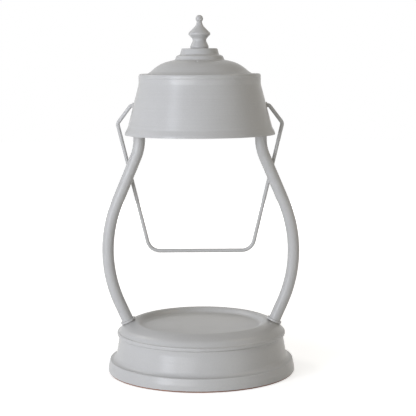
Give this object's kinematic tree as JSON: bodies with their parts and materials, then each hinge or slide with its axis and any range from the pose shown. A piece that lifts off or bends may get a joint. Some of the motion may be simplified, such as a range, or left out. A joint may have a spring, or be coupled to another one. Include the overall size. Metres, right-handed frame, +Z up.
{
  "type": "candle warmer lamp",
  "caption": "Lantern-shaped candle warmer lamp: a halogen bulb under a metal shade melts a jar candle on the weighted round base; wire bail handle.",
  "frame": {"origin": "middle of the underside, on the surface that the lamp stands on", "axes": "+Z up, -Y to the front, +X to the right seen from the front, through both arms"},
  "size_m": [0.1682, 0.1596, 0.3021],
  "materials": {
    "paint": "satin powder coat",
    "felt": "felt",
    "cast_iron": "as cast, black primer",
    "plated_steel": "zinc plated",
    "fasteners": "bright zinc",
    "brass": "machined",
    "gland_plastic": "matt nylon",
    "terminal_plastic": "milky nylon",
    "ceramic": "steatite ceramic",
    "reflector": "aluminised glass",
    "clear_glass": "clear",
    "bush_plastic": "acetal",
    "silicone": "silicone"
  },
  "bodies": {
    "lamp": {"base_shell": "paint", "arm_left": "paint", "arm_right": "paint", "arm_collars": "paint", "shade": "paint", "dome": "paint", "finial": "paint", "felt_pad": "felt", "ballast_plate": "cast_iron", "bottom_cover": "plated_steel", "cover_posts": "plated_steel", "arm_foot_washers": "plated_steel", "bridge_strap": "plated_steel", "cover_screws": "fasteners", "arm_foot_nuts": "fasteners", "strap_screws": "fasteners", "centre_stud": "fasteners", "stud_nut": "fasteners", "lampholder_screws": "fasteners", "arm_nipples": "brass", "arm_top_inserts": "brass", "terminal_screws": "brass", "cable_gland": "gland_plastic", "gland_nut": "gland_plastic", "terminal_block": "terminal_plastic", "lampholder": "ceramic", "bail_bushes": "bush_plastic", "bulb_lead": "silicone"},
    "bail": {"bail_handle": "paint", "bail_caps": "bush_plastic"},
    "bulb": {"bulb_base": "ceramic", "bulb_pins": "brass", "bulb_reflector": "reflector", "bulb_lens": "clear_glass", "bulb_capsule": "clear_glass"}
  },
  "joints": [
    {"name": "bail_swing", "type": "hinge", "parent": "lamp", "child": "bail", "pos_m": [0, 0, 0.2268], "axis": [1, 0, 0], "range_deg": [0, 345.72]},
    {"name": "bulb_twist", "type": "hinge", "parent": "lamp", "child": "bulb", "pos_m": [0, 0, 0.251], "axis": [0, 0, -1], "range_deg": [0, 25]}
  ]
}
